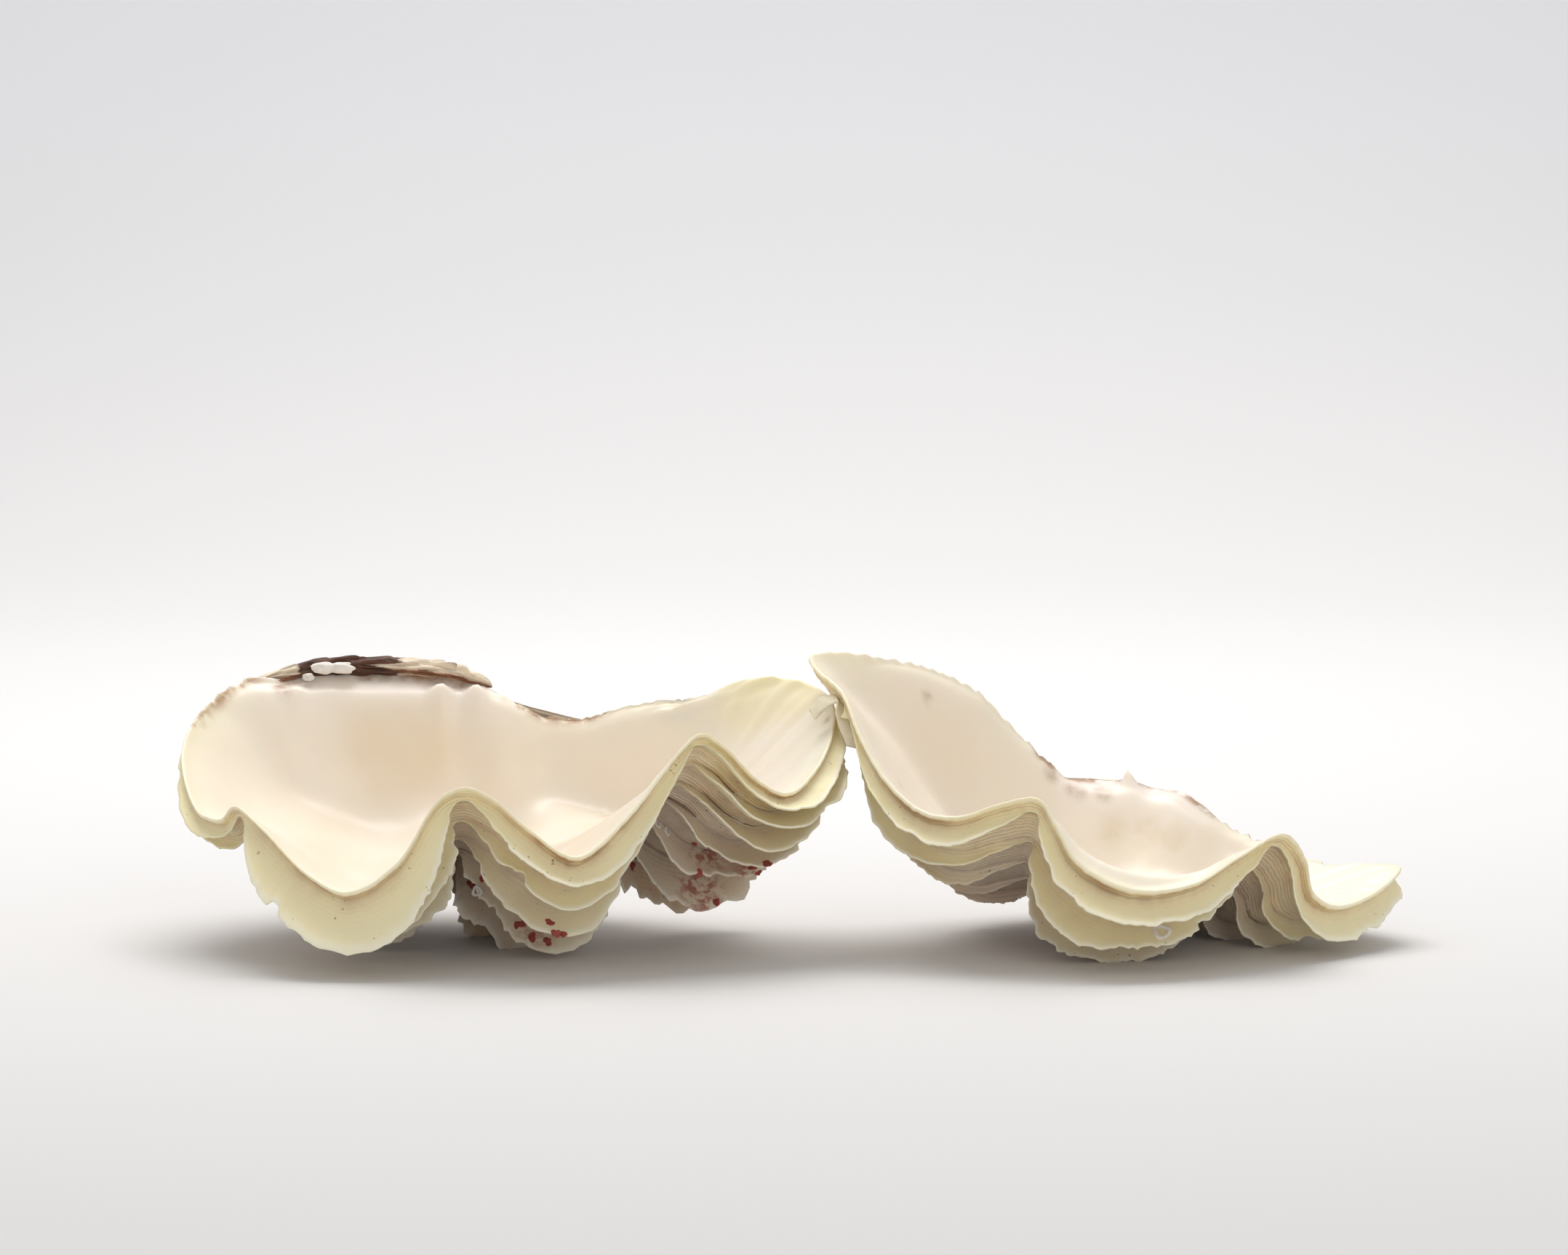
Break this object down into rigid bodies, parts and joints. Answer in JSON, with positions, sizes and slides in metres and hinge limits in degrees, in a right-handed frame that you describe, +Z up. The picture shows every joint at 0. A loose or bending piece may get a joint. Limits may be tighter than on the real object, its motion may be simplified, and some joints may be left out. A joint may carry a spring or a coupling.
{
  "type": "giant clam shell",
  "caption": "Fluted giant clam shell with both valves lying open, hollow side up, long ends touching, scaly ribs below and a dark ligament on one hinge.",
  "frame": {"origin": "centre of the bounding box's underside, on the surface the shell lies on", "axes": "+X along the row of two valves, from the one with the ligament to the other; +Y from the rippled edges to the hinges; +Z up, out of the hollows"},
  "size_m": [0.3602, 0.1306, 0.0843],
  "materials": {
    "left_valve": "porcelain-smooth inside, chalky and scaly outside",
    "right_valve": "porcelain-smooth inside, chalky and scaly outside",
    "hinge_ligament": "dry and horny"
  },
  "bodies": {
    "root": {"left_valve": "left_valve", "right_valve": "right_valve", "hinge_ligament": "hinge_ligament"}
  },
  "joints": []
}
